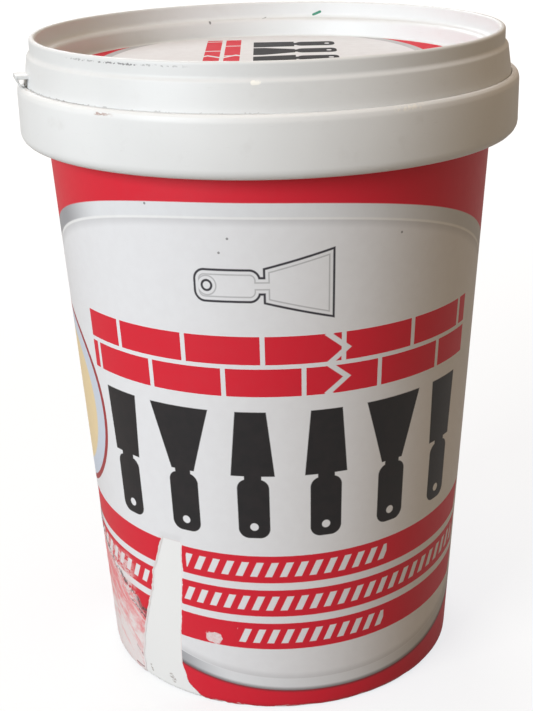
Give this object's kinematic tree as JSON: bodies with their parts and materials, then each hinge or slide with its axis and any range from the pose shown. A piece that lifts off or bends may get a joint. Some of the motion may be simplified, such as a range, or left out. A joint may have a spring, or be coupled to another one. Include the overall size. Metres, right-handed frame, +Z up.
{
  "type": "wall filler tub",
  "caption": "Tapered white plastic tub with a collared rim, a lift-off stacking lid with a small tamper tab, a printed wrap label and ready-mixed filling paste inside.",
  "frame": {"origin": "centre of the foot ring, on the surface the tub stands on", "axes": "+Z up the tub's axis, -Y towards the front of the label, the tamper tab near -X"},
  "size_m": [0.095, 0.095, 0.1275],
  "materials": {
    "tub_plastic": "satin",
    "wrap_film": "satin",
    "filler_paste": "matte",
    "lid_plastic": "satin",
    "lid_film": "satin"
  },
  "bodies": {
    "tub": {"tub": "tub_plastic", "wrap_label": "wrap_film", "filler": "filler_paste"},
    "lid": {"lid": "lid_plastic", "lid_label": "lid_film"},
    "tab": {"tamper_tab": "lid_plastic"}
  },
  "joints": [
    {"name": "lid_lift", "type": "slide", "parent": "tub", "child": "lid", "axis": [0, 0, 1], "range_m": [0, 0.09]},
    {"name": "tab_bend", "type": "hinge", "parent": "lid", "child": "tab", "pos_m": [-0.04411, -0.01265, 0.12138], "axis": [-0.2756, 0.9613, 0], "range_deg": [0, 60]}
  ]
}
